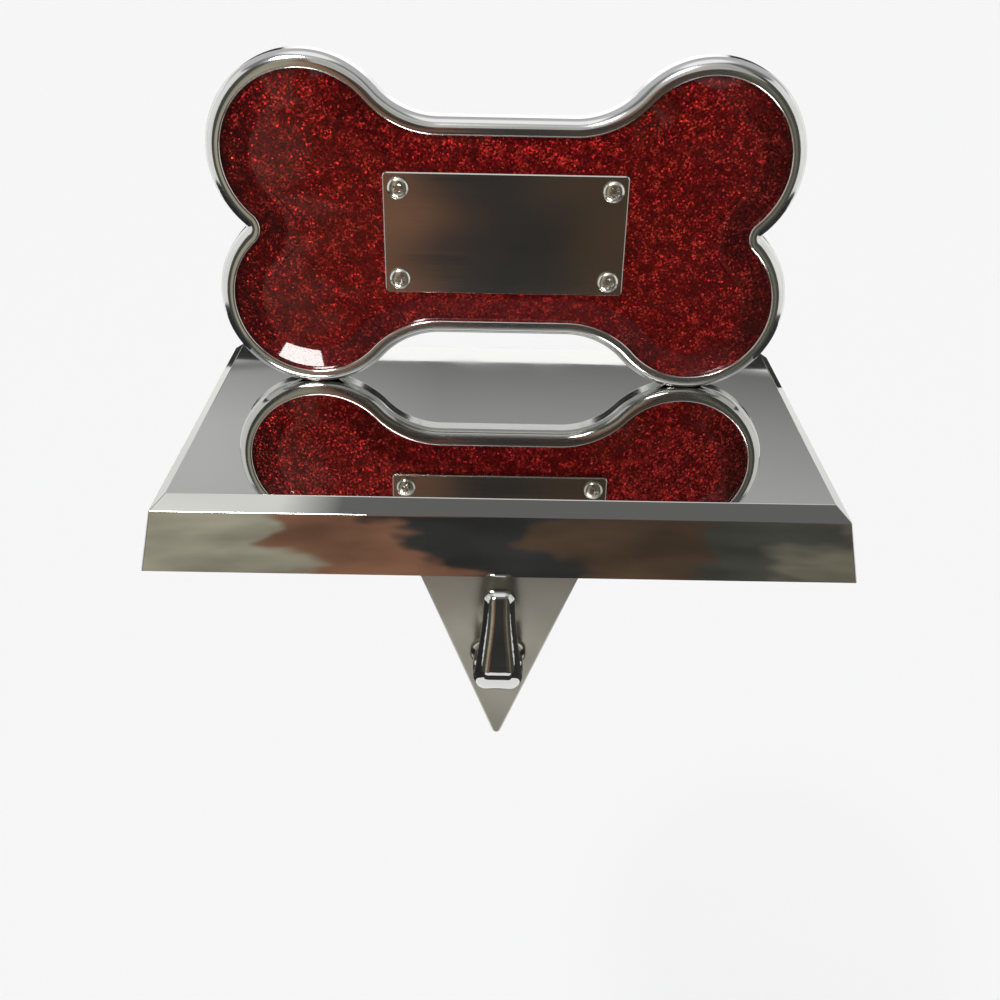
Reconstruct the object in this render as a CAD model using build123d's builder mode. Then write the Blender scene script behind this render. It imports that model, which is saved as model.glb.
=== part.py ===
"""Mantel stocking holder: a weighted chrome base, a glitter-filled bone and a drop hook.

Millimetres. The origin is on the mantel top, under the middle of the base.
X runs along the mantel, -Y is the front and +Z is up.
"""

import math
import os

from build123d import *

# Base cover
base_width = 130.0
base_depth = 80.0
base_height = 14.0
rim_lift = 0.4
side_draft = 11.1
bevel_rise = 2.35
bevel_angle = 48.5
cover_wall = 2.2
cover_roof = 2.6
cavity_corner = 2.0
cover_edge_round = 0.35

# Ballast and pad
pad_thick = 1.5
pad_inset = 1.5
pad_corner = 3.0
ballast_clear = 0.6
ballast_corner = 2.5
ballast_edge = 0.5
ballast_screw_inset = 10.0

# Hook bracket
plate_thick = 2.5
plate_width = 31.2
plate_drop = 42.0
plate_tip_round = 0.8
plate_edge_bevel = 0.4
bracket_clear = 0.3
mantel_clear = 0.5
tongue_width = 26.0
tongue_length = 21.0
tongue_thick = 2.5
tongue_clear = 1.0
tongue_bend_round = 1.5
bracket_screw_spread = 16.0
hook_gap = 8.0
hook_root_drop = 19.6
hook_bend_radius = 5.0
hook_curl_angle = 100.0
hook_arm_length = 14.2
hook_flare_length = 7.0
hook_root_width = 8.6
hook_root_thick = 5.0
hook_bend_width = 8.0
hook_bend_thick = 4.9
hook_waist_width = 6.3
hook_waist_thick = 4.5
hook_tip_width = 5.7
hook_tip_thick = 4.2
hook_tip_flat = 0.6
hook_root_round = 1.0

# Bone frame and glitter panel
bone_front = 13.2
bone_depth = 5.8
lobe_radius = 19.25
lobe_spread = 79.4
lobe_rise = 29.3
shaft_height = 44.2
neck_radius = 16.3
notch_round = 0.6
foot_cut = 0.25
bone_back_edge = 0.6
rim_width = 3.25
rim_outer_round = 2.5
rim_inner_round = 0.5
recess_depth = 1.9
panel_above_rim = 0.7
panel_dome_drop = 1.6
panel_dome_width = 5.6
panel_dome_round = 7.0

# Name plate
name_plate_width = 48.4
name_plate_height = 24.4
name_plate_thick = 0.8
name_plate_corner = 0.8
name_plate_screw_inset = 3.0
name_plate_edge = 0.2

# Screws
small_screw_shank = 2.2
small_screw_length = 5.0
small_screw_head = 4.3
small_screw_head_height = 1.2
screw_shank = 3.0
screw_play = 0.3
screw_head = 6.0
bone_screw_bite = 9.4
boss_height = 3.4
boss_diameter = 7.0
thread_end_play = 0.3
cross_depth = 0.6
head_crown_ratio = 0.7
cross_arm_ratio = 0.55
cross_slot_ratio = 0.14

# Levels and places that follow from the sizes above
side_rise = base_height - rim_lift - bevel_rise
roof_underside = base_height - cover_roof
ballast_top = roof_underside - boss_height
ballast_thick = ballast_top - pad_thick
draft_tan = math.tan(math.radians(side_draft))
cavity_inset = cover_wall + (ballast_top - rim_lift) * draft_tan
plate_front = -base_depth / 2 + cavity_inset + bracket_clear
plate_back = plate_front + plate_thick
ballast_front = plate_back + mantel_clear
ballast_back = base_depth / 2 - cavity_inset - ballast_clear
ballast_width = base_width - 2 * (cavity_inset + ballast_clear)
ballast_depth = ballast_back - ballast_front
ballast_middle = (ballast_front + ballast_back) / 2
ballast_screw_grid_x = ballast_width - 2 * ballast_screw_inset
ballast_screw_grid_y = ballast_depth - 2 * ballast_screw_inset
tongue_back = plate_front + tongue_length
tongue_top = ballast_top
tongue_under = tongue_top - tongue_thick
bracket_screw_y = (plate_back + tongue_back) / 2
hook_arm_y = plate_front - hook_gap - hook_bend_thick / 2
bone_back = bone_front + bone_depth
bone_centre = base_height + lobe_rise / 2 + lobe_radius - foot_cut
recess_floor = bone_front + recess_depth
bone_screw_y = (recess_floor + bone_back) / 2
panel_thick = recess_depth + panel_above_rim
panel_crown = bone_front - panel_above_rim
name_plate_front = panel_crown - name_plate_thick
name_plate_screw_grid_x = name_plate_width - 2 * name_plate_screw_inset
name_plate_screw_grid_z = name_plate_height - 2 * name_plate_screw_inset
hook_tip_round = (hook_tip_thick - hook_tip_flat) / 2
small_shank_hole = small_screw_shank + screw_play
shank_hole = screw_shank + screw_play
sink_hole = screw_head + screw_play
ballast_screw_length = ballast_thick + boss_height
bracket_screw_length = tongue_thick + boss_height
bone_screw_length = cover_roof + bone_screw_bite

# Shared places
floor_of_recess = Plane((0, recess_floor, bone_centre), x_dir=(1, 0, 0), z_dir=(0, -1, 0))
back_of_bone = Plane((0, bone_back, bone_centre), x_dir=(1, 0, 0), z_dir=(0, -1, 0))
back_of_name_plate = Plane((0, panel_crown, bone_centre), x_dir=(1, 0, 0), z_dir=(0, -1, 0))
face_of_name_plate = Plane((0, name_plate_front, bone_centre), x_dir=(1, 0, 0), z_dir=(0, -1, 0))


def screw(shank, length, head, head_height=0.0):
    """Screw with its shank up +Z, from under a round head or from the face of a countersunk one."""
    with BuildPart(mode=Mode.PRIVATE) as body:
        Cylinder(shank / 2, length, align=(Align.CENTER, Align.CENTER, Align.MIN))
        if head_height > 0:
            Cylinder(head / 2, head_height, align=(Align.CENTER, Align.CENTER, Align.MAX))
            fillet(body.edges().group_by(Axis.Z)[0], head_height * head_crown_ratio)
        else:
            Cone(head / 2, shank / 2, (head - shank) / 2, align=(Align.CENTER, Align.CENTER, Align.MIN))
        with BuildSketch(Plane.XY.offset(-head_height)):
            Rectangle(head * cross_arm_ratio, head * cross_slot_ratio)
            Rectangle(head * cross_slot_ratio, head * cross_arm_ratio)
        extrude(amount=cross_depth, mode=Mode.SUBTRACT)
    return body.part


def bone(inset):
    """Outline of four lobes and a shaft, with round necks and end notches, moved inwards by the inset."""
    with BuildSketch(mode=Mode.PRIVATE) as outline:
        with GridLocations(lobe_spread, lobe_rise, 2, 2):
            Circle(lobe_radius - inset)
        Rectangle(lobe_spread, shaft_height - 2 * inset)
        fillet(outline.vertices().sort_by(lambda v: abs(v.X))[:4], neck_radius + inset)
        fillet(outline.vertices().sort_by(lambda v: abs(v.Y))[:2], notch_round + inset)
    return outline.sketch


os.makedirs("parts", exist_ok=True)

# Bone outlines: the casting's edge and, inside its rim, the panel's edge
bone_outline = bone(0)
panel_outline = bone(rim_width)

# Base cover: drafted shell with a bevelled top, hollow from below, with screw bosses under its roof
with BuildPart() as base_cover:
    with BuildSketch(Plane.XY.offset(rim_lift)):
        Rectangle(base_width, base_depth)
    extrude(amount=side_rise, taper=side_draft)
    extrude(base_cover.faces().sort_by(Axis.Z)[-1], amount=bevel_rise, taper=bevel_angle)
    outer_edges = base_cover.edges().filter_by(lambda e: e.center().Z > rim_lift)
    fillet(outer_edges, cover_edge_round)
    with BuildSketch(Plane.XY.offset(rim_lift)):
        RectangleRounded(base_width - 2 * cover_wall, base_depth - 2 * cover_wall, cavity_corner)
    extrude(amount=roof_underside - rim_lift, taper=side_draft, mode=Mode.SUBTRACT)
    with BuildSketch(Plane.XY.offset(ballast_top)):
        with Locations((0, ballast_middle)):
            with GridLocations(ballast_screw_grid_x, ballast_screw_grid_y, 2, 2):
                Circle(boss_diameter / 2)
        with Locations((0, bracket_screw_y)):
            with GridLocations(bracket_screw_spread, 0, 2, 1):
                Circle(boss_diameter / 2)
    extrude(amount=roof_underside - ballast_top)
    with BuildSketch(Plane.XY.offset(ballast_top)):
        with Locations((0, ballast_middle)):
            with GridLocations(ballast_screw_grid_x, ballast_screw_grid_y, 2, 2):
                Circle(screw_shank / 2)
        with Locations((0, bracket_screw_y)):
            with GridLocations(bracket_screw_spread, 0, 2, 1):
                Circle(screw_shank / 2)
    extrude(amount=boss_height + thread_end_play, mode=Mode.SUBTRACT)
    with BuildSketch(Plane.XY.offset(roof_underside)):
        with Locations((0, bone_screw_y)):
            with GridLocations(lobe_spread, 0, 2, 1):
                Circle(small_shank_hole / 2)
    extrude(amount=cover_roof, mode=Mode.SUBTRACT)

# Ballast: cast slab that fills the hollow, cut away round the bracket's tongue
with BuildPart() as ballast_weight:
    with BuildSketch(Plane.XY.offset(pad_thick)):
        with Locations((0, ballast_middle)):
            RectangleRounded(ballast_width, ballast_depth, ballast_corner)
        with Locations((0, ballast_front)):
            Rectangle(
                tongue_width + 2 * tongue_clear,
                tongue_back + tongue_clear - ballast_front,
                align=(Align.CENTER, Align.MIN),
                mode=Mode.SUBTRACT,
            )
    extrude(amount=ballast_thick)
    chamfer(ballast_weight.faces().sort_by(Axis.Z)[-1].edges(), ballast_edge)
    with Locations(Plane((0, ballast_middle, pad_thick), z_dir=(0, 0, -1))):
        with GridLocations(ballast_screw_grid_x, ballast_screw_grid_y, 2, 2):
            CounterSinkHole(shank_hole / 2, sink_hole / 2, counter_sink_angle=90)

# Pad: soft sheet under the ballast, ending behind the bracket so that it lies on the mantel
with BuildPart() as base_pad:
    with BuildSketch():
        with Locations((0, ballast_middle)):
            RectangleRounded(ballast_width - 2 * pad_inset, ballast_depth - 2 * pad_inset, pad_corner)
    extrude(amount=pad_thick)

# Hook bracket: tongue under the roof bosses, tapering drop plate and upturned hook in one casting
with BuildPart() as hook_bracket:
    with BuildSketch(Plane((0, plate_back, 0), x_dir=(1, 0, 0), z_dir=(0, -1, 0))) as drop_plate:
        with BuildLine():
            Polyline(
                (-plate_width / 2, tongue_top),
                (-plate_width / 2, 0),
                (0, -plate_drop),
                (plate_width / 2, 0),
                (plate_width / 2, tongue_top),
                close=True,
            )
        make_face()
        fillet(drop_plate.vertices().sort_by(Axis.Y)[0], plate_tip_round)
    extrude(amount=plate_thick)
    front_edges = hook_bracket.faces().sort_by(Axis.Y)[0].edges()
    chamfer(front_edges.filter_by(lambda e: e.center().Z < 0), plate_edge_bevel)
    with BuildSketch(Plane.XY.offset(tongue_under)):
        with Locations((0, plate_front)):
            Rectangle(tongue_width, tongue_length, align=(Align.CENTER, Align.MIN))
    extrude(amount=tongue_thick)
    with Locations(Plane((0, bracket_screw_y, tongue_under), z_dir=(0, 0, -1))):
        with GridLocations(bracket_screw_spread, 0, 2, 1):
            CounterSinkHole(shank_hole / 2, sink_hole / 2, depth=tongue_thick, counter_sink_angle=90)
    inner_bend = hook_bracket.edges().filter_by(Axis.X).sort_by_distance((0, plate_back, tongue_under))[0]
    fillet(inner_bend, tongue_bend_round)
    with BuildLine(Plane.YZ) as hook_path:
        hook_floor = Line(
            ((plate_front + plate_back) / 2, -hook_root_drop),
            (hook_arm_y + hook_bend_radius, -hook_root_drop),
        )
        hook_bend = JernArc(hook_floor @ 1, hook_floor % 1, hook_bend_radius, -hook_curl_angle)
        hook_arm = Line(hook_bend @ 1, hook_bend @ 1 + hook_bend % 1 * hook_arm_length)
    hook_waist = hook_arm @ (hook_flare_length / hook_arm_length)
    with BuildSketch(Plane(hook_floor @ 0, x_dir=(1, 0, 0), z_dir=hook_floor % 0)):
        SlotOverall(hook_root_width, hook_root_thick)
    with BuildSketch(Plane(hook_arm @ 0, x_dir=(1, 0, 0), z_dir=hook_arm % 0)):
        SlotOverall(hook_bend_width, hook_bend_thick)
    with BuildSketch(Plane(hook_waist, x_dir=(1, 0, 0), z_dir=hook_arm % 0)):
        SlotOverall(hook_waist_width, hook_waist_thick)
    with BuildSketch(Plane(hook_arm @ 1, x_dir=(1, 0, 0), z_dir=hook_arm % 1)):
        SlotOverall(hook_tip_width, hook_tip_thick)
    sweep(path=hook_path.wires()[0], multisection=True)
    plate_faces = hook_bracket.faces().filter_by(Axis.Y).sort_by(SortBy.AREA)[-2:]
    fillet(plate_faces.sort_by(Axis.Y)[0].inner_wires()[0].edges(), hook_root_round)
    hook_tip = hook_bracket.faces().filter_by(GeomType.PLANE).sort_by_distance(hook_arm @ 1)[0]
    fillet(hook_tip.edges(), hook_tip_round)

# Bone frame: bone-shaped casting with a rounded rim round its front recess and flats where it stands
with BuildPart() as bone_frame:
    with BuildSketch(back_of_bone):
        add(bone_outline)
    extrude(amount=bone_depth)
    chamfer(bone_frame.faces().sort_by(Axis.Y)[-1].edges(), bone_back_edge)
    with BuildSketch(floor_of_recess):
        add(panel_outline)
    extrude(amount=recess_depth, mode=Mode.SUBTRACT)
    fillet(bone_frame.faces().sort_by(Axis.Y)[0].outer_wire().edges(), rim_outer_round)
    fillet(bone_frame.faces().sort_by(Axis.Y)[0].inner_wires()[0].edges(), rim_inner_round)
    split(bisect_by=Plane.XY.offset(base_height), keep=Keep.TOP)
    with BuildSketch(Plane.XY.offset(base_height)):
        with Locations((0, bone_screw_y)):
            with GridLocations(lobe_spread, 0, 2, 1):
                Circle(small_screw_shank / 2)
    extrude(amount=bone_screw_bite + thread_end_play, mode=Mode.SUBTRACT)
    with BuildSketch(face_of_name_plate):
        with GridLocations(name_plate_screw_grid_x, name_plate_screw_grid_z, 2, 2):
            Circle(small_screw_shank / 2)
    extrude(amount=-small_screw_length - thread_end_play, mode=Mode.SUBTRACT)

# Glitter panel: resin cast into the recess, proud of the rim and domed down towards it
with BuildPart() as glitter_panel:
    with BuildSketch(floor_of_recess):
        add(panel_outline)
    extrude(amount=panel_thick)
    front_face = glitter_panel.faces().sort_by(Axis.Y)[0]
    chamfer(front_face.edges(), panel_dome_width, panel_dome_drop, reference=front_face)
    fillet(glitter_panel.faces().sort_by(Axis.Y)[0].edges(), panel_dome_round)
    with BuildSketch(back_of_name_plate):
        with GridLocations(name_plate_screw_grid_x, name_plate_screw_grid_z, 2, 2):
            Circle(small_screw_shank / 2)
    extrude(amount=-panel_thick, mode=Mode.SUBTRACT)

# Name plate: bare steel plate on the flat of the panel
with BuildPart() as name_plate:
    with BuildSketch(back_of_name_plate):
        RectangleRounded(name_plate_width, name_plate_height, name_plate_corner)
        with GridLocations(name_plate_screw_grid_x, name_plate_screw_grid_z, 2, 2):
            Circle(small_shank_hole / 2, mode=Mode.SUBTRACT)
    extrude(amount=name_plate_thick)
    chamfer(name_plate.faces().sort_by(Axis.Y)[0].outer_wire().edges(), name_plate_edge)

# Screws
small_screw = screw(small_screw_shank, small_screw_length, small_screw_head, small_screw_head_height)
with BuildPart() as name_plate_screws:
    with Locations(Plane((0, name_plate_front, bone_centre), x_dir=(1, 0, 0), z_dir=(0, 1, 0))):
        with GridLocations(name_plate_screw_grid_x, name_plate_screw_grid_z, 2, 2):
            add(small_screw)

ballast_screw = screw(screw_shank, ballast_screw_length, screw_head)
with BuildPart() as ballast_screws:
    with Locations((0, ballast_middle, pad_thick)):
        with GridLocations(ballast_screw_grid_x, ballast_screw_grid_y, 2, 2):
            add(ballast_screw)

bracket_screw = screw(screw_shank, bracket_screw_length, screw_head)
with BuildPart() as bracket_screws:
    with Locations((0, bracket_screw_y, tongue_under)):
        with GridLocations(bracket_screw_spread, 0, 2, 1):
            add(bracket_screw)

bone_screw = screw(small_screw_shank, bone_screw_length, small_screw_head, small_screw_head_height)
with BuildPart() as bone_screws:
    with Locations((0, bone_screw_y, roof_underside)):
        with GridLocations(lobe_spread, 0, 2, 1):
            add(bone_screw)

base_cover.part.label = "base_cover"
export_step(base_cover.part, "parts/base_cover.step")
ballast_weight.part.label = "ballast_weight"
export_step(ballast_weight.part, "parts/ballast_weight.step")
base_pad.part.label = "base_pad"
export_step(base_pad.part, "parts/base_pad.step")
hook_bracket.part.label = "hook_bracket"
export_step(hook_bracket.part, "parts/hook_bracket.step")
bone_frame.part.label = "bone_frame"
export_step(bone_frame.part, "parts/bone_frame.step")
glitter_panel.part.label = "glitter_panel"
export_step(glitter_panel.part, "parts/glitter_panel.step")
name_plate.part.label = "name_plate"
export_step(name_plate.part, "parts/name_plate.step")
name_plate_screws.part.label = "name_plate_screws"
export_step(name_plate_screws.part, "parts/name_plate_screws.step")
ballast_screws.part.label = "ballast_screws"
export_step(ballast_screws.part, "parts/ballast_screws.step")
bracket_screws.part.label = "bracket_screws"
export_step(bracket_screws.part, "parts/bracket_screws.step")
bone_screws.part.label = "bone_screws"
export_step(bone_screws.part, "parts/bone_screws.step")
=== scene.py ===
"""Looks of a mantel stocking holder: chrome base and hook, glitter-filled bone and a bare steel name plate.

Metres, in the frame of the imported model: +X along the mantel, -Y to the front and +Z up.
"""

import math

import bmesh
import bpy
import numpy as np
from bpy.props import FloatProperty, FloatVectorProperty, PointerProperty
from bpy.types import Operator, Panel, PropertyGroup
from mathutils import Matrix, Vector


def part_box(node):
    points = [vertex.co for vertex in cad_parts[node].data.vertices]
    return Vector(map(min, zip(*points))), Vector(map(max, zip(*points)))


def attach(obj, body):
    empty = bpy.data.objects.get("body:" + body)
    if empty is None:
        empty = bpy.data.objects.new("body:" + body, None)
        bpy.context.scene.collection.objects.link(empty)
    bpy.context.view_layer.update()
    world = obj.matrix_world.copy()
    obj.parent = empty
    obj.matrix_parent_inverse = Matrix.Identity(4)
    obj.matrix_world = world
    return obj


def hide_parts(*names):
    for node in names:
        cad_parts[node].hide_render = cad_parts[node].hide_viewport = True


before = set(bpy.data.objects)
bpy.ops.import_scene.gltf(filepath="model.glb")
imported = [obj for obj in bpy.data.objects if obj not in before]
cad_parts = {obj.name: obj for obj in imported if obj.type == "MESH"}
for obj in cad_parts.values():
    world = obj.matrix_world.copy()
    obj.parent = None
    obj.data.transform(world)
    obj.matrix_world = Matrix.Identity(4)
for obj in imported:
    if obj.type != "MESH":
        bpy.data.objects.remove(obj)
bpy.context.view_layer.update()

bl_info = {
    "name": "Stocking Holder Looks",
    "version": (1, 0, 0),
    "blender": (4, 5, 0),
    "location": "View3D > Sidebar > Holder",
    "description": "Finishes and smooth surfaces for a mantel stocking holder",
    "category": "Object",
}

MM = 0.001
# Points closer together than this are joined
WELD = 0.001 * MM
# Edges that turn by more than this stay crisp
CREASE = math.radians(40)
# Width of the narrow band that keeps a face flat up to its rounded edge
HOLD = 0.04 * MM
# Turns of the four cross recesses, in degrees
SCREW_TURNS = (20, 64, -12, 41)
# Where a recess's floor starts to rise and where it has risen, as shares of half the cross
RECESS_ENDS = (0.625, 1.25)

# Tones of the card in front, by the turn about Z in radians
OLIVE = (0.35, 0.33, 0.25)
BROWN = (0.23, 0.11, 0.065)
UMBER = (0.08, 0.05, 0.03)
KHAKI = (0.16, 0.15, 0.11)
SHADE = (0.06, 0.06, 0.05)
BLACK = (0.03, 0.03, 0.03)
CARD_TONES = (
    (-0.60, SHADE),
    (-0.48, OLIVE),
    (-0.27, OLIVE),
    (-0.24, BROWN),
    (-0.10, BROWN),
    (-0.07, BLACK),
    (0.07, BLACK),
    (0.09, UMBER),
    (0.22, UMBER),
    (0.26, SHADE),
    (0.36, SHADE),
    (0.40, KHAKI),
    (0.48, KHAKI),
    (0.60, SHADE),
)
# Brightness of the sky behind, in front and added on the left, by the height of its direction
BACK_TONES = (
    (0.0, 0.95),
    (0.36, 0.95),
    (0.37, 1.25),
    (0.385, 1.25),
    (0.387, 0.17),
    (0.396, 0.21),
    (0.433, 0.33),
    (0.5, 0.48),
    (0.9, 0.5),
    (0.97, 1.0),
)
FRONT_TONES = ((0.0, 0.95), (0.36, 0.92), (0.40, 0.15), (0.93, 0.15), (0.97, 1.0))
LEFT_TONES = ((0.39, 0.0), (0.395, 1.0), (0.5, 0.1))
# Cards bent round the object: name, turns from the front in degrees, heights, finish
BENT_CARDS = (
    ("front_card", (-57, 57), (-0.33, 0.45), "room_card"),
    ("left_card", (-110, -57), (-0.16, 0.45), "pale_card"),
    ("right_card", (57, 110), (-0.16, 0.45), "pale_card"),
    ("low_left_flag", (-110, -57), (-0.6, -0.16), "flag"),
    ("low_right_flag", (57, 110), (-0.6, -0.16), "flag"),
    ("back_left_flag", (-170, -110), (-0.6, -0.2), "flag"),
    ("back_right_flag", (110, 170), (-0.6, -0.2), "flag"),
    ("near_left_flag", (-57, -32), (-0.6, -0.33), "flag"),
    ("near_right_flag", (32, 57), (-0.6, -0.33), "flag"),
)
# Flat upright cards: name, reach in X, place in Y, heights, finish
FLAT_CARDS = (
    ("left_flag", (-0.47, -0.235), 0.9, (-0.3, 0.39), "flag"),
    ("right_flag", (0.235, 0.485), 0.9, (-0.3, 0.39), "flag"),
    ("left_back_card", (-0.9, -0.47), 0.9, (-0.4, 0.2), "pale_card"),
    ("right_back_card", (0.485, 0.9), 0.9, (-0.4, 0.2), "pale_card"),
    ("low_flag", (-0.5, 0.5), -0.6, (-1.1, -0.56), "flag"),
    ("bevel_card", (-0.4, -0.17), -0.456, (0.74, 1.05), "pale_card"),
    ("rim_card", (-0.042, 0.09), -0.05, (0.102, 0.25), "soft_card"),
    ("arch_card", (-0.235, 0.235), 0.9, (0.2, 0.388), "white_card"),
)


# Property groups

def length(name, description, millimetres):
    """Length property with its default given in millimetres."""
    default = millimetres * MM
    return FloatProperty(name=name, description=description, default=default, unit="LENGTH", precision=5)


def reach(name, description, metres):
    """Length property of the stage, in metres."""
    return FloatProperty(name=name, description=description, default=metres, unit="LENGTH")


def rotation(name, description, degrees):
    """Angle property with its default given in degrees."""
    default = math.radians(degrees)
    return FloatProperty(name=name, description=description, default=default, unit="ROTATION", precision=4)


def factor(name, description, default):
    """Share from 0 to 1."""
    limits = {"min": 0.0, "max": 1.0}
    return FloatProperty(name=name, description=description, default=default, subtype="FACTOR", **limits)


def colour(name, description, default):
    """Colour property in linear light."""
    return FloatVectorProperty(name=name, description=description, default=default, size=3, subtype="COLOR")


class BoneSettings(PropertyGroup):
    """Sizes of the bone's outline, its rim and its resin"""
    lobe_radius: length("Lobe radius", "Radius of the four round ends", 19.25)
    lobe_rise: length("Lobe rise", "Height between the centres of an upper and a lower lobe", 29.3)
    shaft_height: length("Shaft height", "Height of the straight middle", 44.2)
    neck_radius: length("Neck radius", "Hollow curve from the shaft to a lobe", 16.3)
    notch_round: length("Notch round", "Small hollow curve between two lobes", 0.6)
    outer_round: length("Outer round", "Radius of the rim's broad outer edge", 2.5)
    inner_round: length("Inner round", "Radius of the rim's edge beside the resin", 0.5)
    back_round: length("Back round", "Radius of the back edge", 0.6)
    dome_width: length("Dome width", "Band in which the resin slopes down to the rim", 5.6)
    dome_drop: length("Dome drop", "How far the resin's edge lies behind its flat", 1.6)
    dome_round: length("Dome round", "Radius between the resin's slope and its flat", 7.0)


class BracketSettings(PropertyGroup):
    """Reach of the bracket and its two finishes"""
    tongue_length: length("Tongue length", "From the plate's face to the tongue's end inside the base", 21.0)
    satin: factor("Satin", "Roughness of the drop plate", 0.22)
    polish: factor("Polish", "Roughness of the hook", 0.04)


class PadSettings(PropertyGroup):
    """Rounding of the foam pad"""
    corner: length("Corner", "Radius of the pad's corners", 3.0)
    edge: length("Edge", "Radius of the pad's pressed edges", 0.45)


class ScrewSettings(PropertyGroup):
    """Sizes of a name plate screw"""
    head: length("Head", "Diameter of a name plate screw's head", 4.3)
    head_height: length("Head height", "Height of the head above the plate", 1.2)
    crown: length("Crown", "Height of the head's dome", 0.84)
    crown_width: length("Crown width", "Width of the band in which the dome falls to the head's edge", 1.75)
    shank: length("Shank", "Diameter of the shank", 2.2)
    cross: length("Cross", "Length of the cross recess", 1.8)
    slot: length("Slot", "Width of the recess's arms", 0.7)
    recess: length("Recess", "Depth of the cross recess", 0.85)
    wall: length("Wall", "Width of the recess's sloping walls", 0.1)


class FinishSettings(PropertyGroup):
    """Colours of the finishes"""
    chrome: colour("Chrome", "Mirror plating", (0.72, 0.72, 0.70))
    nickel: colour("Nickel", "Bright screw heads", (0.82, 0.80, 0.74))
    satin_chrome: colour("Satin chrome", "Drop plate", (0.43, 0.41, 0.35))
    steel: colour("Steel", "Satin name plate", (0.60, 0.59, 0.55))
    zinc: colour("Zinc", "Screws underneath", (0.50, 0.51, 0.52))
    iron: colour("Iron", "Cast ballast", (0.045, 0.045, 0.048))
    rubber: colour("Rubber", "Foam pad", (0.012, 0.012, 0.013))
    # Flake tones picked at random for each flake: the dark ones are painted shade and the bright ones painted
    # glints.
    flake_painted_shade: colour("Dark flakes", "Glitter turned away from the light", (0.08, 0.002, 0.003))
    flake: colour("Flakes", "Most of the glitter", (0.25, 0.006, 0.005))
    flake_painted_glint: colour("Bright flakes", "Glitter that catches the light", (0.65, 0.05, 0.035))
    flake_size: length("Flake size", "Width of a glitter flake", 0.34)


class StageSettings(PropertyGroup):
    """Floor, cards, key light and camera"""
    floor_drop: reach("Floor drop", "Floor below the mantel top", 1.2)
    floor_reach: reach("Floor reach", "From the middle to the floor's edges", 40.0)
    card_radius: reach("Card radius", "From the middle to the bent cards", 0.5)
    key_energy: FloatProperty(name="Key energy", description="Strength of the soft key light", default=2.05)
    key_width: rotation("Key width", "Width of the key light as the object sees it", 18.0)
    key_tilt: rotation("Key tilt", "Lean of the key light to the front", 33.0)
    key_lean: rotation("Key lean", "Lean of the key light to the left", 18.5)
    lens: FloatProperty(name="Lens", description="Focal length", default=40.0, unit="CAMERA")
    pitch: rotation("Pitch", "Camera's tilt down", 30.223)
    yaw: rotation("Yaw", "Camera's turn to the left", -0.411)
    roll: rotation("Roll", "Camera's lean", 1.204)
    eye: FloatVectorProperty(
        name="Eye",
        description="Camera's place",
        default=(-0.00144, -0.20708, 0.11391),
        subtype="XYZ",
        unit="LENGTH",
    )


class HolderSettings(PropertyGroup):
    """All the settings of the holder"""
    bone: PointerProperty(type=BoneSettings)
    bracket: PointerProperty(type=BracketSettings)
    pad: PointerProperty(type=PadSettings)
    screw: PointerProperty(type=ScrewSettings)
    finish: PointerProperty(type=FinishSettings)
    stage: PointerProperty(type=StageSettings)


# Meshes

def quarter(steps):
    """Angles of a quarter turn, ends included."""
    return np.linspace(0, math.pi / 2, steps + 1)


def grid_faces(rows, columns, start):
    """Quads between neighbouring rows of a grid whose rows close on themselves."""
    row = np.arange(rows - 1)[:, None] * columns + start
    column = np.arange(columns)[None, :]
    following = (column + 1) % columns
    corners = (row + column, row + following, row + columns + following, row + columns + column)
    return np.stack(corners, axis=-1).reshape(-1, 4)


def close_ends(rows, half_length, axis, middle):
    """Rows with the first and the last drawn together to a line along X, which closes both flat faces."""
    ends = rows[[0, -1]]
    ends[..., 0] = np.clip(ends[..., 0], -half_length, half_length)
    ends[..., axis] = middle
    return np.concatenate([ends[:1], rows, ends[1:]])


def make_piece(name, grids, material, slot, *nodes):
    """Closed piece from grids of points (rows, columns, 3), welded where rows shrink to a line or a pole."""
    starts = np.cumsum([0] + [grid.shape[0] * grid.shape[1] for grid in grids])
    points = np.concatenate([grid.reshape(-1, 3) for grid in grids])
    faces = np.concatenate([grid_faces(*grid.shape[:2], start) for grid, start in zip(grids, starts)])
    mesh = bpy.data.meshes.new(name)
    mesh.from_pydata(points.tolist(), [], faces.tolist())
    shell = bmesh.new()
    shell.from_mesh(mesh)
    bmesh.ops.remove_doubles(shell, verts=shell.verts, dist=WELD)
    bmesh.ops.recalc_face_normals(shell, faces=shell.faces)
    shell.to_mesh(mesh)
    shell.free()
    mesh.polygons.foreach_set("use_smooth", np.ones(len(mesh.polygons), dtype=bool))
    mesh.set_sharp_from_angle(angle=CREASE)
    mesh.materials.append(material)
    piece = bpy.data.objects.new(name, mesh)
    bpy.context.scene.collection.objects.link(piece)
    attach(piece, "root")
    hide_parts(*nodes)
    return piece


def dress(node, material):
    """Puts a finish on a node that keeps its own mesh."""
    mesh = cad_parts[node].data
    mesh.materials.clear()
    mesh.materials.append(material)


# Material nodes

def add_node(tree, kind, inputs=None, **settings):
    """Node with its settings, and with each input set to a value or linked from a socket."""
    node = tree.nodes.new(kind)
    for name, value in settings.items():
        setattr(node, name, value)
    for name, value in (inputs or {}).items():
        if isinstance(value, bpy.types.NodeSocket):
            tree.links.new(value, node.inputs[name])
        else:
            node.inputs[name].default_value = value
    return node


def new_material(name, **inputs):
    """Material with its node tree, its shader and Object coordinates."""
    material = bpy.data.materials.new(name)
    material.use_nodes = True
    tree = material.node_tree
    shader = tree.nodes["Principled BSDF"]
    for socket, value in inputs.items():
        shader.inputs[socket.replace("_", " ")].default_value = value
    place = add_node(tree, "ShaderNodeTexCoord").outputs["Object"]
    return material, tree, shader, place


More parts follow.
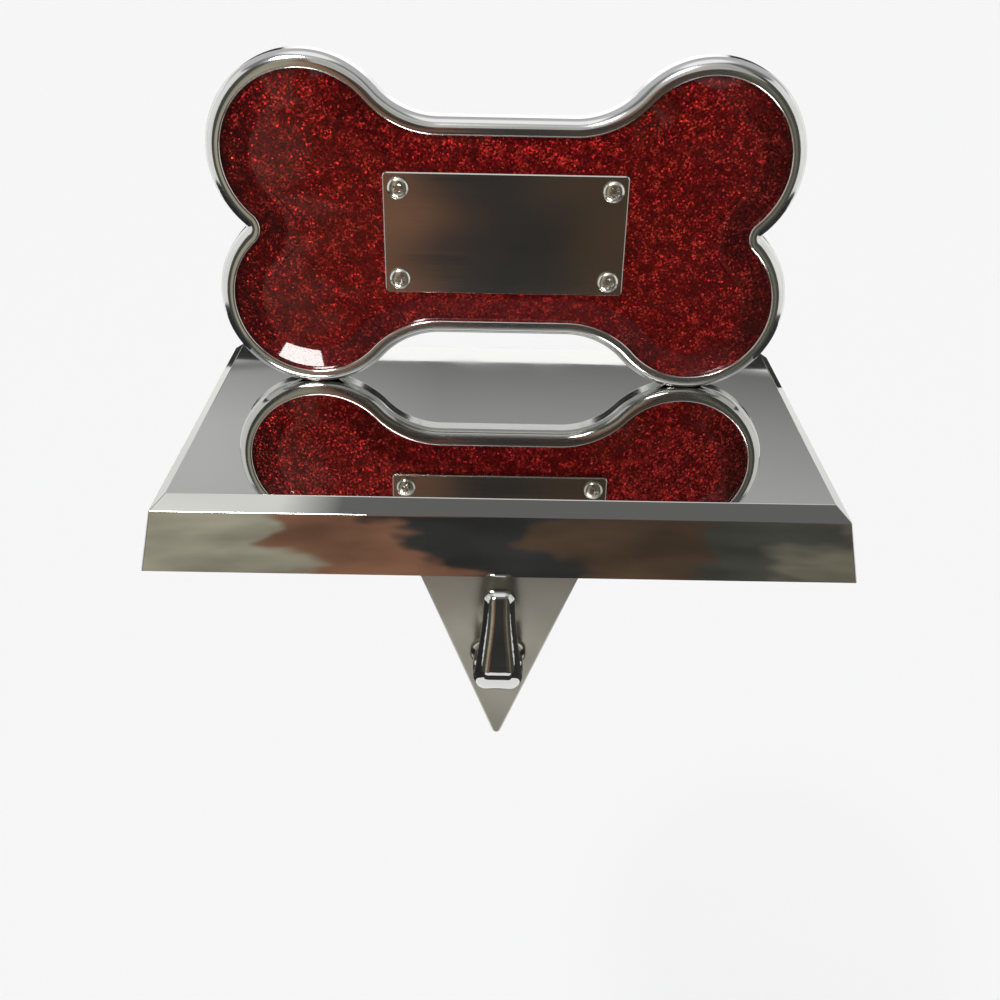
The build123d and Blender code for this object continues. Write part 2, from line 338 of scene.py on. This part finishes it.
def noise(tree, place, scale, detail, stretch=(1, 1, 1)):
    """Noise of so many waves a metre, stretched along the axes."""
    mapping = add_node(tree, "ShaderNodeMapping", {"Vector": place, "Scale": stretch})
    inputs = {"Vector": mapping.outputs[0], "Scale": scale, "Detail": detail}
    return add_node(tree, "ShaderNodeTexNoise", inputs).outputs["Fac"]


def spread(tree, value, low, high):
    """A noise value's middle range stretched from low to high."""
    inputs = {"Value": value, "From Min": 0.3, "From Max": 0.7, "To Min": low, "To Max": high}
    return add_node(tree, "ShaderNodeMapRange", inputs).outputs["Result"]


def relief(tree, height, depth):
    """Bump of a given depth in metres."""
    inputs = {"Height": height, "Strength": 1.0, "Distance": depth}
    return add_node(tree, "ShaderNodeBump", inputs).outputs["Normal"]


def rgba(value):
    """Colour with full alpha."""
    return (*value, 1.0)


def grey(tone):
    """Neutral colour of one brightness."""
    return (tone, tone, tone)


def set_ramp(ramp, stops):
    """Ramp through the given positions and colours."""
    while len(ramp.elements) < len(stops):
        ramp.elements.new(1.0)
    for element, (position, tint) in zip(ramp.elements, stops):
        element.position = position
        element.color = rgba(tint)


def bright_plating(name, tint, smooth, rough):
    """Bright plating with uneven handling haze and the slight waviness of a polished casting."""
    material, tree, shader, place = new_material(name, Base_Color=rgba(tint), Metallic=1.0)
    haze = spread(tree, noise(tree, place, 70, 4), smooth, rough)
    tree.links.new(haze, shader.inputs["Roughness"])
    wave = relief(tree, noise(tree, place, 45, 1), 0.008 * MM)
    tree.links.new(wave, shader.inputs["Normal"])
    return material


def bracket_plating(finish, bracket, plate_front):
    """Plating that is satin on the drop plate and mirror-bright on the hook in front of it."""
    material, tree, shader, place = new_material("bracket_plating", Metallic=1.0)
    depth = add_node(tree, "ShaderNodeSeparateXYZ", {"Vector": place}).outputs["Y"]
    ends = {"Value": depth, "From Min": plate_front - 1.0 * MM, "From Max": plate_front - 0.1 * MM}
    share = add_node(tree, "ShaderNodeMapRange", ends).outputs["Result"]
    tint = add_node(tree, "ShaderNodeValToRGB", {"Fac": share})
    set_ramp(tint.color_ramp, ((0.0, finish.chrome), (1.0, finish.satin_chrome)))
    tree.links.new(tint.outputs["Color"], shader.inputs["Base Color"])
    finishes = {"Value": share, "To Min": bracket.polish, "To Max": bracket.satin}
    polish = add_node(tree, "ShaderNodeMapRange", finishes).outputs["Result"]
    haze = spread(tree, noise(tree, place, 90, 4), 0.85, 1.15)
    rough = add_node(tree, "ShaderNodeMath", {0: polish, 1: haze}, operation="MULTIPLY")
    tree.links.new(rough.outputs[0], shader.inputs["Roughness"])
    return material


def glitter_resin(finish):
    """Clear glossy resin over flakes, with painted shade that darkens the flakes where the dome slopes to the
    sides.

    Each Voronoi cell is a flake with its own tilt and a painted brightness, from painted shade to painted
    glint, and noise gathers the glinting ones.
    """
    material, tree, shader, place = new_material(
        "red_glitter_resin",
        Metallic=0.8,
        Roughness=0.35,
        Coat_Weight=1.0,
        Coat_Roughness=0.04,
        Specular_IOR_Level=0.1,
    )
    flakes = add_node(tree, "ShaderNodeTexVoronoi", {"Vector": place, "Scale": 1 / finish.flake_size})
    chance = add_node(tree, "ShaderNodeSeparateColor", {"Color": flakes.outputs["Color"]})
    drift = spread(tree, noise(tree, place, 420, 3), -0.25, 0.25)
    share = add_node(tree, "ShaderNodeMath", {0: chance.outputs["Red"], 1: drift}, operation="ADD").outputs[0]
    # Painted glints and painted shade: each flake's colour is picked at random from dark, middle and bright
    # red.
    tone = add_node(tree, "ShaderNodeValToRGB", {"Fac": share})
    set_ramp(tone.color_ramp, ((0.1, finish.flake_painted_shade), (0.85, finish.flake), (1.0, finish.flake_painted_glint)))
    # Painted shade: the flakes' colour falls to half where the surface turns to the left or right, on the
    # dome's slopes by the rim.
    face = add_node(tree, "ShaderNodeNewGeometry").outputs["Normal"]
    sideways = add_node(tree, "ShaderNodeSeparateXYZ", {"Vector": face}).outputs["X"]
    steep = add_node(tree, "ShaderNodeMath", {0: sideways}, operation="ABSOLUTE").outputs[0]
    ends = {"Value": steep, "From Min": 0.06, "From Max": 0.27, "To Min": 1.0, "To Max": 0.5}
    painted_edge_shade = add_node(tree, "ShaderNodeMapRange", ends).outputs["Result"]
    shown = {0: tone.outputs["Color"], "Scale": painted_edge_shade}
    seen = add_node(tree, "ShaderNodeVectorMath", shown, operation="SCALE")
    tree.links.new(seen.outputs[0], shader.inputs["Base Color"])
    centred = {0: flakes.outputs["Color"], 1: grey(0.5)}
    tilt = add_node(tree, "ShaderNodeVectorMath", centred, operation="SUBTRACT")
    turned = add_node(tree, "ShaderNodeVectorMath", {0: face, 1: tilt.outputs[0]}, operation="ADD")
    facing = add_node(tree, "ShaderNodeVectorMath", {0: turned.outputs[0]}, operation="NORMALIZE")
    tree.links.new(facing.outputs[0], shader.inputs["Normal"])
    return material


def satin_steel(tint):
    """Brushed sheet with fine lines along X."""
    material, tree, shader, place = new_material("satin_steel", Base_Color=rgba(tint), Metallic=1.0)
    lines = noise(tree, place, 100, 6, stretch=(0.4, 1, 40))
    tree.links.new(spread(tree, lines, 0.09, 0.15), shader.inputs["Roughness"])
    tree.links.new(relief(tree, lines, 0.0004 * MM), shader.inputs["Normal"])
    return material


def zinc_plating(tint):
    """Dull bright plating with a fine grain."""
    material, tree, shader, place = new_material("zinc_screws", Base_Color=rgba(tint), Metallic=1.0)
    tree.links.new(spread(tree, noise(tree, place, 900, 3), 0.22, 0.42), shader.inputs["Roughness"])
    return material


def cast_iron(tint):
    """Dark casting with a sandy skin."""
    material, tree, shader, place = new_material("cast_ballast", Base_Color=rgba(tint), Metallic=0.4)
    grain = noise(tree, place, 1100, 5)
    tree.links.new(relief(tree, grain, 0.15 * MM), shader.inputs["Normal"])
    tree.links.new(spread(tree, grain, 0.55, 0.85), shader.inputs["Roughness"])
    return material


def foam_rubber(tint):
    """Black sheet with fine closed cells."""
    material, tree, shader, place = new_material("pad_rubber", Base_Color=rgba(tint), Roughness=0.85)
    cells = add_node(tree, "ShaderNodeTexVoronoi", {"Vector": place, "Scale": 1400.0})
    tree.links.new(relief(tree, cells.outputs["Distance"], 0.1 * MM), shader.inputs["Normal"])
    return material


# Cards for the stage

def card(name, **inputs):
    """Black card that may glow."""
    return new_material(name, Base_Color=rgba(grey(0)), Roughness=1.0, **inputs)


def room_card():
    """Plain glowing tones side by side by the turn about Z, with wandering borders and painted shade of soft
    upright folds in the glow.
    """
    material, tree, shader, place = card("room_card")
    axes = add_node(tree, "ShaderNodeSeparateXYZ", {"Vector": place})
    front = add_node(tree, "ShaderNodeMath", {0: axes.outputs["Y"], 1: -1.0}, operation="MULTIPLY").outputs[0]
    around = {0: axes.outputs["X"], 1: front}
    turn = add_node(tree, "ShaderNodeMath", around, operation="ARCTAN2").outputs[0]
    flattened = (1, 1, 4)
    wander = spread(tree, noise(tree, place, 11, 3, flattened), 0.46, 0.54)
    moved = {0: turn, 1: 0.5, 2: wander}
    share = add_node(tree, "ShaderNodeMath", moved, operation="MULTIPLY_ADD").outputs[0]
    tone = add_node(tree, "ShaderNodeValToRGB", {"Fac": share})
    set_ramp(tone.color_ramp, [(0.5 + position / 2, tint) for position, tint in CARD_TONES])
    tree.links.new(tone.outputs["Color"], shader.inputs["Emission Color"])
    # Painted shade of folds: the glow's strength varies in soft upright bands.
    painted_fold_shade = spread(tree, noise(tree, place, 14, 3, flattened), 0.6, 1.3)
    tree.links.new(painted_fold_shade, shader.inputs["Emission Strength"])
    return material


def pale_card():
    """Warm white glow, uneven, and faded towards the middle plane."""
    material, tree, shader, place = card("pale_card", Emission_Color=(0.85, 0.85, 0.82, 1))
    across = add_node(tree, "ShaderNodeSeparateXYZ", {"Vector": place}).outputs["X"]
    side = add_node(tree, "ShaderNodeMath", {0: across}, operation="ABSOLUTE").outputs[0]
    ends = {"Value": side, "From Min": 0.17, "From Max": 0.24, "To Min": 0.18}
    fade = add_node(tree, "ShaderNodeMapRange", ends).outputs["Result"]
    mottle = spread(tree, noise(tree, place, 6, 1), 0.85, 1.05)
    level = add_node(tree, "ShaderNodeMath", {0: fade, 1: mottle}, operation="MULTIPLY").outputs[0]
    tree.links.new(level, shader.inputs["Emission Strength"])
    return material


def soft_card():
    """Dim uneven glow."""
    material, tree, shader, place = card("soft_card", Emission_Color=(0.45, 0.45, 0.42, 1))
    tree.links.new(spread(tree, noise(tree, place, 20, 2), 0.8, 1.2), shader.inputs["Emission Strength"])
    return material


def white_card():
    """Even white glow."""
    return card("white_card", Emission_Color=rgba(grey(1)), Emission_Strength=1.25)[0]


def flag():
    """Near-black sheet that only reflections see, where it shows as a dark reflection; it takes no light
    away.
    """
    return new_material("flag", Base_Color=rgba(grey(0.02)), Roughness=1.0)[0]


# Bone shapes

def bone_outline(bone, lobe_spread):
    """Closed outline of the bone about its centre, as points and outward normals in X and Z.

    One quarter is a straight shaft, a hollow neck arc, a lobe arc and half of a hollow notch arc.
    The other three quarters are its mirror images.
    """
    half_spread = lobe_spread / 2
    half_rise = bone.lobe_rise / 2
    half_shaft = bone.shaft_height / 2
    neck_up = half_shaft + bone.neck_radius - half_rise
    neck_across = math.sqrt((bone.lobe_radius + bone.neck_radius) ** 2 - neck_up ** 2)
    neck_x = half_spread - neck_across
    neck_angle = math.atan2(neck_up, -neck_across)
    notch_across = math.sqrt((bone.lobe_radius + bone.notch_round) ** 2 - half_rise ** 2)
    notch_angle = math.atan2(-half_rise, notch_across)

    shaft = np.linspace(0, neck_x, 25)[:-1]
    neck = np.linspace(-math.pi / 2, neck_angle - math.pi, 33)[:-1]
    lobe = np.linspace(neck_angle, notch_angle, 97)[:-1]
    notch = np.linspace(notch_angle + math.pi, math.pi, 13)
    arcs = (
        (neck, neck_x, half_shaft + bone.neck_radius, bone.neck_radius, -1),
        (lobe, half_spread, half_rise, bone.lobe_radius, 1),
        (notch, half_spread + notch_across, 0, bone.notch_round, -1),
    )
    points = [np.column_stack([shaft, np.full_like(shaft, half_shaft)])]
    normals = [np.column_stack([np.zeros_like(shaft), np.ones_like(shaft)])]
    for angle, x, z, radius, outward in arcs:
        ray = np.column_stack([np.cos(angle), np.sin(angle)])
        points.append(ray * radius + (x, z))
        normals.append(ray * outward)
    quarter_points = np.concatenate(points)
    quarter_normals = np.concatenate(normals)

    def all_round(part):
        right = np.concatenate([part, part[-2::-1] * (1, -1)])
        return np.concatenate([right, right[-2:0:-1] * (-1, 1)])

    return all_round(quarter_points), all_round(quarter_normals)


def bone_rows(outline, normals, inset, depth, centre, foot):
    """Rows of points: the outline moved inwards by each inset, at each depth in Y, cut level at the foot."""
    flat = outline[None] - inset[:, None, None] * normals[None]
    y = np.broadcast_to(depth[:, None], flat.shape[:2])
    return np.stack([flat[..., 0], y, np.maximum(flat[..., 1] + centre, foot)], axis=-1)


# Operators

class HOLDER_OT_stage(Operator):
    """Make the world, the floor, the cards, the key light and the camera"""
    bl_idname = "holder.stage"
    bl_label = "Stage"

    def execute(self, context):
        stage = context.scene.holder.stage
        scene = context.scene
        scene.view_settings.view_transform = "Standard"
        self.world(scene)
        self.floor(scene, stage)
        self.cards(scene, stage)
        self.key_light(scene, stage)
        self.camera(scene, stage)
        return {"FINISHED"}

    def world(self, scene):
        """Pale ring round the horizon, grey above it behind, darker above it in front, bright overhead."""
        world = bpy.data.worlds.new("studio")
        world.use_nodes = True
        scene.world = world
        tree = world.node_tree
        direction = add_node(tree, "ShaderNodeTexCoord").outputs["Generated"]
        axes = add_node(tree, "ShaderNodeSeparateXYZ", {"Vector": direction})
        skies = []
        for tones in (BACK_TONES, FRONT_TONES):
            sky = add_node(tree, "ShaderNodeValToRGB", {"Fac": axes.outputs["Z"]})
            set_ramp(sky.color_ramp, [(position, grey(tone)) for position, tone in tones])
            skies.append(sky.outputs["Color"])
        ahead = {"Value": axes.outputs["Y"], "From Min": 0.05, "From Max": -0.25}
        share = add_node(tree, "ShaderNodeMapRange", ahead).outputs["Result"]
        both = {"Fac": share, "Color1": skies[0], "Color2": skies[1]}
        light = tree.nodes["Background"]
        tree.links.new(add_node(tree, "ShaderNodeMixRGB", both).outputs["Color"], light.inputs["Color"])
        side = {"Value": axes.outputs["X"], "From Min": -0.05, "From Max": -0.25}
        lean = add_node(tree, "ShaderNodeMapRange", side).outputs["Result"]
        patch = add_node(tree, "ShaderNodeValToRGB", {"Fac": axes.outputs["Z"]})
        set_ramp(patch.color_ramp, [(position, grey(tone)) for position, tone in LEFT_TONES])
        strength = {0: lean, 1: patch.outputs["Color"], 2: 1.0}
        tilt = add_node(tree, "ShaderNodeMath", strength, operation="MULTIPLY_ADD").outputs[0]
        tree.links.new(tilt, light.inputs["Strength"])

    def sheet(self, scene, name, points, material):
        """Sheet through a grid of points (rows, columns, 3)."""
        rows, columns = points.shape[:2]
        corner = (np.arange(rows - 1)[:, None] * columns + np.arange(columns - 1)[None]).reshape(-1, 1)
        faces = corner + np.array([0, 1, columns + 1, columns])
        mesh = bpy.data.meshes.new(name)
        mesh.from_pydata(points.reshape(-1, 3).tolist(), [], faces.tolist())
        mesh.materials.append(material)
        made = bpy.data.objects.new(name, mesh)
        scene.collection.objects.link(made)
        return made

    def floor(self, scene, stage):
        """Wide level sheet of one pale tone."""
        finish = {"Base_Color": rgba(grey(0.9)), "Roughness": 0.9, "Specular_IOR_Level": 0.1}
        pale = new_material("pale_floor", **finish)[0]
        edges = (-stage.floor_reach, stage.floor_reach)
        x, y = np.meshgrid(edges, edges)
        self.sheet(scene, "floor", np.stack([x, y, np.full_like(x, -stage.floor_drop)], axis=-1), pale)

    def cards(self, scene, stage):
        """Cards and flags that only reflections see: arcs about Z, and flat ones across Y."""
        finishes = {made.name: made for made in (room_card(), pale_card(), soft_card(), white_card(), flag())}
        sheets = []
        for name, turns, heights, finish in BENT_CARDS:
            turn, z = np.meshgrid(np.radians(np.linspace(*turns, 25)), heights)
            x = stage.card_radius * np.sin(turn)
            y = -stage.card_radius * np.cos(turn)
            sheets.append(self.sheet(scene, name, np.stack([x, y, z], axis=-1), finishes[finish]))
        for name, across, y, heights, finish in FLAT_CARDS:
            x, z = np.meshgrid(across, heights)
            points = np.stack([x, np.full_like(x, y), z], axis=-1)
            sheets.append(self.sheet(scene, name, points, finishes[finish]))
        for sheet in sheets:
            sheet.visible_camera = False
            sheet.visible_diffuse = False
            sheet.visible_shadow = False

    def key_light(self, scene, stage):
        """One broad sun from above, leaning to the front and the left."""
        sun = bpy.data.lights.new("soft_key", "SUN")
        sun.energy = stage.key_energy
        sun.angle = stage.key_width
        lamp = bpy.data.objects.new("soft_key", sun)
        lamp.rotation_euler = (stage.key_tilt, -stage.key_lean, 0)
        scene.collection.objects.link(lamp)

    def camera(self, scene, stage):
        """Camera at the eye, turned, tilted down and leant."""
        lens = bpy.data.cameras.new("camera")
        lens.lens = stage.lens
        lens.sensor_width = 36.0
        lens.clip_start = 0.01
        eye = bpy.data.objects.new("camera", lens)
        turn = Matrix.Rotation(stage.yaw, 4, "Z")
        tilt = Matrix.Rotation(math.pi / 2 - stage.pitch, 4, "X")
        lean = Matrix.Rotation(stage.roll, 4, "Z")
        eye.matrix_world = Matrix.Translation(stage.eye) @ turn @ tilt @ lean
        scene.collection.objects.link(eye)
        scene.camera = eye


class HOLDER_OT_base(Operator):
    """Finish the base cover and what is inside and under it"""
    bl_idname = "holder.base"
    bl_label = "Base"

    def execute(self, context):
        finish = context.scene.holder.finish
        zinc = zinc_plating(finish.zinc)
        dress("base_cover", bright_plating("chrome_plating", finish.chrome, 0.01, 0.035))
        dress("ballast_weight", cast_iron(finish.iron))
        for node in ("ballast_screws", "bracket_screws", "bone_screws"):
            dress(node, zinc)
        return {"FINISHED"}


class HOLDER_OT_bracket(Operator):
    """Finish the drop plate and the hook"""
    bl_idname = "holder.bracket"
    bl_label = "Bracket"

    def execute(self, context):
        bracket = context.scene.holder.bracket
        finish = context.scene.holder.finish
        plate_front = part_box("hook_bracket")[1].y - bracket.tongue_length
        dress("hook_bracket", bracket_plating(finish, bracket, plate_front))
        return {"FINISHED"}


class HOLDER_OT_pad(Operator):
    """Make the foam pad under the base"""
    bl_idname = "holder.pad"
    bl_label = "Pad"

    def execute(self, context):
        pad = context.scene.holder.pad
        finish = context.scene.holder.finish
        low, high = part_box("base_pad")
        half_spine = (high.x - low.x - (high.y - low.y)) / 2
        closed = close_ends(self.rows(pad, low, high), half_spine, 1, (low.y + high.y) / 2)
        foam = foam_rubber(finish.rubber)
        piece = make_piece("foam_pad", [closed], foam, "pad_rubber", "base_pad")
        return {"FINISHED"}

    def rows(self, pad, low, high):
        """Rounded rectangles from the bottom up: each corner's centre plus a quarter turn, less an inset.

        The insets and the heights follow a quarter turn at the bottom edge and another at the top edge.
        """
        edge = pad.edge
        turn = quarter(8)
        inset = np.concatenate([[edge + HOLD], edge - edge * np.sin(turn), edge - edge * np.cos(turn)])
        height = np.concatenate([
            [low.z],
            low.z + edge - edge * np.cos(turn),
            high.z - edge + edge * np.sin(turn),
        ])
        side = np.array([(1, 1), (-1, 1), (-1, -1), (1, -1)])
        half = np.array([high.x - low.x, high.y - low.y]) / 2 - pad.corner
        middle = np.array([high.x + low.x, high.y + low.y]) / 2
        bend = quarter(12)
        centres = np.repeat(middle + side * half, len(bend), axis=0)
        angle = (np.arange(4)[:, None] * math.pi / 2 + bend).ravel()
        ray = np.column_stack([np.cos(angle), np.sin(angle)])
        flat = centres[None] + ray[None] * (pad.corner - inset)[:, None, None]
        z = np.broadcast_to(height[:, None], flat.shape[:2])
        return np.concatenate([flat, z[..., None]], axis=-1)


class HOLDER_OT_bone(Operator):
    """Make the chrome bone frame and the domed glitter panel"""
    bl_idname = "holder.bone"
    bl_label = "Bone"

    def execute(self, context):
        bone = context.scene.holder.bone
        finish = context.scene.holder.finish
        low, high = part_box("bone_frame")
        panel_low, panel_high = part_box("glitter_panel")
        rim_width = panel_low.x - low.x
        lobe_spread = high.x - low.x - 2 * bone.lobe_radius
        centre = high.z - bone.lobe_radius - bone.lobe_rise / 2
        half_spine = lobe_spread / 2
        outline, normals = bone_outline(bone, lobe_spread)

        inset, depth = self.rim_section(bone, rim_width, low.y, high.y, panel_high.y)
        rows = bone_rows(outline, normals, inset, depth, centre, low.z)
        rim = close_ends(rows, half_spine, 2, centre)
        chrome = bpy.data.materials["chrome_plating"]
        make_piece("bone_rim", [rim], chrome, "chrome_plating", "bone_frame")

        inset, depth = self.resin_section(bone, rim_width, panel_low.y, panel_high.y)
        rows = bone_rows(outline, normals, inset, depth, centre, panel_low.z)
        dome = close_ends(rows, half_spine, 2, centre)
        resin = glitter_resin(finish)
        make_piece("glitter_resin", [dome], resin, "red_glitter_resin", "glitter_panel")
        return {"FINISHED"}

    def rim_section(self, bone, width, front, back, recess):
        """Insets and depths from the recess's floor, up its wall and over the rim to the flat back.

        A quarter turn of the inner radius leads onto the rim and one of the outer radius leads off it.
        The straight side follows, and a quarter turn of the back radius.
        """
        turn = quarter(16)
        inner = bone.inner_round
        outer = bone.outer_round
        edge = bone.back_round
        inset = np.concatenate([
            [width, width],
            width - inner + inner * np.cos(turn),
            outer - outer * np.sin(turn),
            [0, 0],
            edge - edge * np.cos(turn),
            [edge + HOLD],
        ])
        depth = np.concatenate([
            [recess, front + inner + HOLD],
            front + inner - inner * np.sin(turn),
            front + outer - outer * np.cos(turn),
            [front + outer + HOLD, back - edge - HOLD],
            back - edge + edge * np.sin(turn),
            [back],
        ])
        return inset, depth

    def resin_section(self, bone, start, front, back):
        """Insets and depths from the back, along the side, up a straight slope and round to the flat."""
        slope = math.atan2(bone.dome_drop, bone.dome_width)
        blend = bone.dome_round * math.tan(slope / 2)
        straight = np.linspace(0, bone.dome_width - blend * math.cos(slope), 13)[:-1]
        bend = np.linspace(slope, 0, 13)
        inset = start + np.concatenate([
            [0],
            straight,
            bone.dome_width + blend - bone.dome_round * np.sin(bend),
            [bone.dome_width + blend + HOLD],
        ])
        depth = front + np.concatenate([
            [back - front],
            bone.dome_drop - straight * math.tan(slope),
            bone.dome_round - bone.dome_round * np.cos(bend),
            [0],
        ])
        return inset, depth


class HOLDER_OT_name_plate(Operator):
    """Finish the bare name plate and make its four screws"""
    bl_idname = "holder.name_plate"
    bl_label = "Name plate"

    def execute(self, context):
        screw = context.scene.holder.screw
        finish = context.scene.holder.finish
        dress("name_plate", satin_steel(finish.steel))
        low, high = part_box("name_plate_screws")
        plate_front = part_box("name_plate")[0].y
        across = (low.x + screw.head / 2, high.x - screw.head / 2)
        upright = (low.z + screw.head / 2, high.z - screw.head / 2)
        places = [(x, plate_front, z) for x in across for z in upright]
        one = self.screw(screw, high.y - plate_front)
        grids = [one(turn) + np.array(place) for place, turn in zip(places, np.radians(SCREW_TURNS))]
        nickel = bright_plating("bright_screws", finish.nickel, 0.19, 0.26)
        make_piece("plate_screws", grids, nickel, "bright_screws", "name_plate_screws")
        return {"FINISHED"}

    def screw(self, screw, bite):
        """Turned profile from the shank's end to the head's elliptical dome, with a cross sunk into the head.

        The recess is the deeper of two crossed slots with sloping walls and floors that rise at their ends.
        """
        head = screw.head / 2
        shank = screw.shank / 2
        top = screw.head_height
        dome = head * (1 - np.linspace(0, 1, 49) ** 2)
        fall = np.clip((dome - head + screw.crown_width) / screw.crown_width, 0, 1)
        radius = np.concatenate([[0, shank, shank, head, head], dome])
        out = np.concatenate([
            [-bite, -bite, 0, 0, top - screw.crown - HOLD],
            top - screw.crown + screw.crown * np.sqrt(1 - fall ** 2),
        ])
        is_top = np.concatenate([np.zeros(len(radius) - len(dome)), np.ones_like(dome)])
        angle = np.linspace(0, 2 * math.pi, 97)[:-1]

        def slot(along, across):
            wall = np.clip((screw.slot / 2 - np.abs(across)) / screw.wall, 0, 1)
            floor = np.interp(np.abs(along) / (screw.cross / 2), RECESS_ENDS, (1, 0))
            return wall * floor

        def turned(by):
            x = radius[:, None] * np.cos(angle)
            z = radius[:, None] * np.sin(angle)
            along = radius[:, None] * np.cos(angle - by)
            across = radius[:, None] * np.sin(angle - by)
            sink = screw.recess * np.maximum(slot(along, across), slot(across, along)) * is_top[:, None]
            return np.stack([x, sink - out[:, None], z], axis=-1)

        return turned


class HOLDER_PT_panel(Panel):
    """Lists the steps and the sizes"""
    bl_idname = "HOLDER_PT_panel"
    bl_label = "Stocking Holder"
    bl_space_type = "VIEW_3D"
    bl_region_type = "UI"
    bl_category = "Holder"

    def draw(self, context):
        layout = self.layout
        for step in STEPS:
            layout.operator(step.bl_idname)
        holder = context.scene.holder
        for group in (holder.bone, holder.bracket, holder.pad, holder.screw, holder.finish, holder.stage):
            box = layout.box()
            for name in group.__annotations__:
                box.prop(group, name)


STEPS = (
    HOLDER_OT_stage,
    HOLDER_OT_base,
    HOLDER_OT_bracket,
    HOLDER_OT_pad,
    HOLDER_OT_bone,
    HOLDER_OT_name_plate,
)
GROUPS = (
    BoneSettings,
    BracketSettings,
    PadSettings,
    ScrewSettings,
    FinishSettings,
    StageSettings,
    HolderSettings,
)
CLASSES = (*GROUPS, *STEPS, HOLDER_PT_panel)


def register():
    for item in CLASSES:
        bpy.utils.register_class(item)
    bpy.types.Scene.holder = PointerProperty(type=HolderSettings)


def unregister():
    del bpy.types.Scene.holder
    for item in reversed(CLASSES):
        bpy.utils.unregister_class(item)


def main():
    register()
    bpy.ops.holder.stage()
    bpy.ops.holder.base()
    bpy.ops.holder.bracket()
    bpy.ops.holder.pad()
    bpy.ops.holder.bone()
    bpy.ops.holder.name_plate()


if __name__ == "__main__":
    main()
